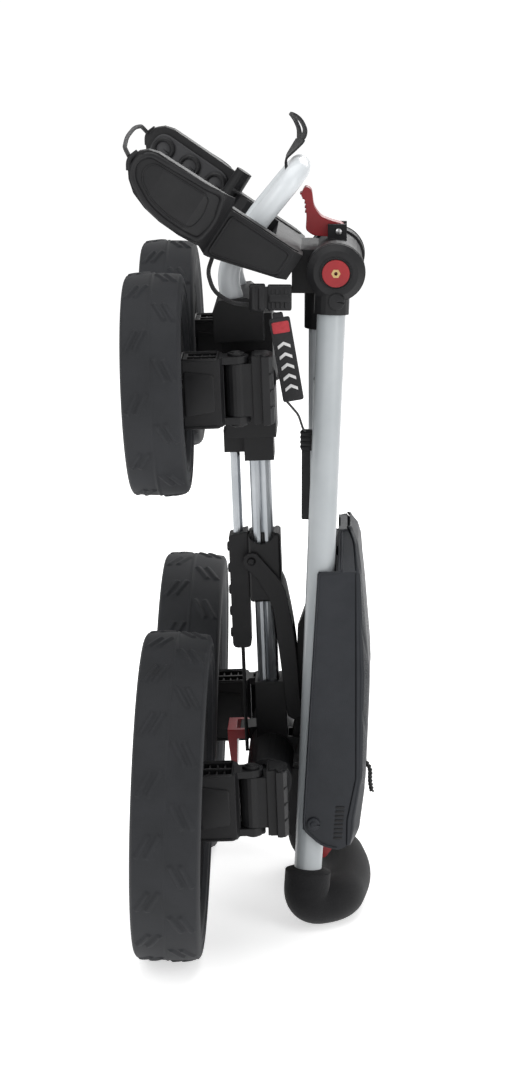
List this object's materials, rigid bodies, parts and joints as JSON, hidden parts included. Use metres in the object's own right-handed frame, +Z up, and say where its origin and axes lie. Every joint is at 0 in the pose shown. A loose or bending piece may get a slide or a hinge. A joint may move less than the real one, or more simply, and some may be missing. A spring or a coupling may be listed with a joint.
{
  "type": "golf push trolley",
  "caption": "Folding golf push trolley with swing-in wheels, sliding fold linkage, bag cradle, U handle with foam grip and lidded console, folded flat on end.",
  "frame": {"origin": "centre of the bounding box on the floor, with the trolley folded and standing on its rear wheels and grip", "axes": "+Z up along the folded rail, +X from the wheels towards the handle and console, +Y across from the left wheels to the right wheels"},
  "size_m": [0.2274, 0.616, 0.7589],
  "materials": {
    "nylon": "matte black glass-filled nylon",
    "tyre": "matte rubber",
    "rim": "satin black",
    "aluminium": "satin anodised",
    "white_paint": "gloss white",
    "steel": "brushed",
    "red": "satin red",
    "console": "matte dark grey, fine texture",
    "foam": "matte foam",
    "webbing": "woven black",
    "pad": "matte grey rubber"
  },
  "bodies": {
    "chassis": {"rail_tube": "aluminium", "front_housing": "nylon", "rear_housing": "nylon", "front_cross_tube": "aluminium", "rear_cross_tube": "aluminium", "bag_base_loop": "white_paint", "loop_strap": "webbing", "fold_pin": "steel", "knuckle_front_left": "nylon", "hinge_pin_front_left": "steel", "knuckle_front_right": "nylon", "hinge_pin_front_right": "steel", "knuckle_rear_left": "nylon", "hinge_pin_rear_left": "steel", "knuckle_rear_right": "nylon", "hinge_pin_rear_right": "steel"},
    "slide": {"slider": "nylon", "link_strip_housing": "nylon", "push_tube": "aluminium", "push_rod": "steel"},
    "brace": {"brace_link": "nylon"},
    "upright": {"main_tube": "aluminium", "foot_bracket": "nylon", "bag_bracket": "nylon", "pad_strip_left": "pad", "pad_strip_right": "pad", "elastic_cord": "webbing", "lock_cord": "webbing", "cord_buckle": "nylon", "pull_tab": "webbing", "hanging_strap": "webbing", "lever_pin": "steel"},
    "cam": {"cam_lever": "red"},
    "handle": {"handle_tube": "white_paint", "foam_grip": "foam", "hinge_disc_left": "nylon", "hinge_disc_right": "nylon", "hinge_cap_left": "red", "hinge_cap_right": "red", "hinge_bolt": "steel", "console_tray": "console"},
    "lid": {"console_lid": "console"},
    "brake": {"brake_lever": "red"},
    "pedal": {"brake_pedal": "red"},
    "swing_front_left": {"arm_front_left": "nylon", "axle_front_left": "steel"},
    "wheel_front_left": {"tyre_front_left": "tyre", "rim_front_left": "rim"},
    "swing_front_right": {"arm_front_right": "nylon", "axle_front_right": "steel"},
    "wheel_front_right": {"tyre_front_right": "tyre", "rim_front_right": "rim"},
    "swing_rear_left": {"arm_rear_left": "nylon", "axle_rear_left": "steel"},
    "wheel_rear_left": {"tyre_rear_left": "tyre", "rim_rear_left": "rim"},
    "swing_rear_right": {"arm_rear_right": "nylon", "axle_rear_right": "steel"},
    "wheel_rear_right": {"tyre_rear_right": "tyre", "rim_rear_right": "rim"}
  },
  "joints": [
    {"name": "main_fold", "type": "hinge", "parent": "chassis", "child": "upright", "pos_m": [0.04765, 0, 0.15104], "axis": [0, 1, 0], "range_deg": [0, 105], "deforming": ["loop_strap", "elastic_cord"]},
    {"name": "handle_fold", "type": "hinge", "parent": "upright", "child": "handle", "pos_m": [0.07753, 0, 0.6165], "axis": [0, -1, 0], "range_deg": [0, 150]},
    {"name": "arm_front_left_fold", "type": "hinge", "parent": "chassis", "child": "swing_front_left", "pos_m": [-0.01023, -0.117, 0.52459], "axis": [-0.0384, 0, 0.9993], "range_deg": [0, 90]},
    {"name": "wheel_front_left_spin", "type": "hinge", "parent": "swing_front_left", "child": "wheel_front_left", "pos_m": [-0.08118, -0.117, 0.52187], "axis": [0.9993, 0, 0.0384], "continuous": true},
    {"name": "arm_front_right_fold", "type": "hinge", "parent": "chassis", "child": "swing_front_right", "pos_m": [-0.01023, 0.117, 0.52459], "axis": [0.0384, 0, -0.9993], "range_deg": [0, 90]},
    {"name": "wheel_front_right_spin", "type": "hinge", "parent": "swing_front_right", "child": "wheel_front_right", "pos_m": [-0.08118, 0.117, 0.52187], "axis": [0.9993, 0, 0.0384], "continuous": true},
    {"name": "arm_rear_left_fold", "type": "hinge", "parent": "chassis", "child": "swing_rear_left", "pos_m": [0.00405, -0.158, 0.15268], "axis": [-0.0384, 0, 0.9993], "range_deg": [0, 90]},
    {"name": "wheel_rear_left_spin", "type": "hinge", "parent": "swing_rear_left", "child": "wheel_rear_left", "pos_m": [-0.06689, -0.158, 0.14996], "axis": [0.9997, 0, -0.0244], "continuous": true},
    {"name": "arm_rear_right_fold", "type": "hinge", "parent": "chassis", "child": "swing_rear_right", "pos_m": [0.00405, 0.158, 0.15268], "axis": [0.0384, 0, -0.9993], "range_deg": [0, 90]},
    {"name": "wheel_rear_right_spin", "type": "hinge", "parent": "swing_rear_right", "child": "wheel_rear_right", "pos_m": [-0.06689, 0.158, 0.14996], "axis": [0.9997, 0, -0.0244], "continuous": true},
    {"name": "slider_travel", "type": "slide", "parent": "chassis", "child": "slide", "axis": [0.0384, 0, -0.9993], "range_m": [0, 0.0645]},
    {"name": "brace_swing", "type": "hinge", "parent": "slide", "child": "brace", "pos_m": [-0.00053, 0, 0.33713], "axis": [0, -1, 0], "range_deg": [0, 19.5]},
    {"name": "cam_lever_throw", "type": "hinge", "parent": "upright", "child": "cam", "pos_m": [0.07963, 0, 0.647], "axis": [0, 1, 0], "range_deg": [0, 75]},
    {"name": "console_lid_open", "type": "hinge", "parent": "handle", "child": "lid", "pos_m": [0.09093, 0, 0.084], "axis": [0, 1, 0], "range_deg": [0, 95]},
    {"name": "brake_lever_pull", "type": "hinge", "parent": "handle", "child": "brake", "pos_m": [0.07313, -0.053, 0.0735], "axis": [0, 1, 0], "range_deg": [0, 12], "stiffness_Nm_per_rad": 0.05},
    {"name": "brake_pedal_press", "type": "hinge", "parent": "chassis", "child": "pedal", "pos_m": [-0.0092, 0.03, 0.15918], "axis": [0, 1, 0], "range_deg": [0, 8]}
  ],
  "couplings": [
    {"joint": "handle_fold", "follows": "main_fold", "ratio": 1.428},
    {"joint": "arm_front_left_fold", "follows": "main_fold", "ratio": 0.857},
    {"joint": "arm_front_right_fold", "follows": "main_fold", "ratio": 0.857},
    {"joint": "arm_rear_left_fold", "follows": "main_fold", "ratio": 0.857},
    {"joint": "arm_rear_right_fold", "follows": "main_fold", "ratio": 0.857},
    {"joint": "slider_travel", "follows": "main_fold", "m_per_rad": 0.0349},
    {"joint": "brace_swing", "follows": "main_fold", "ratio": 0.181}
  ]
}
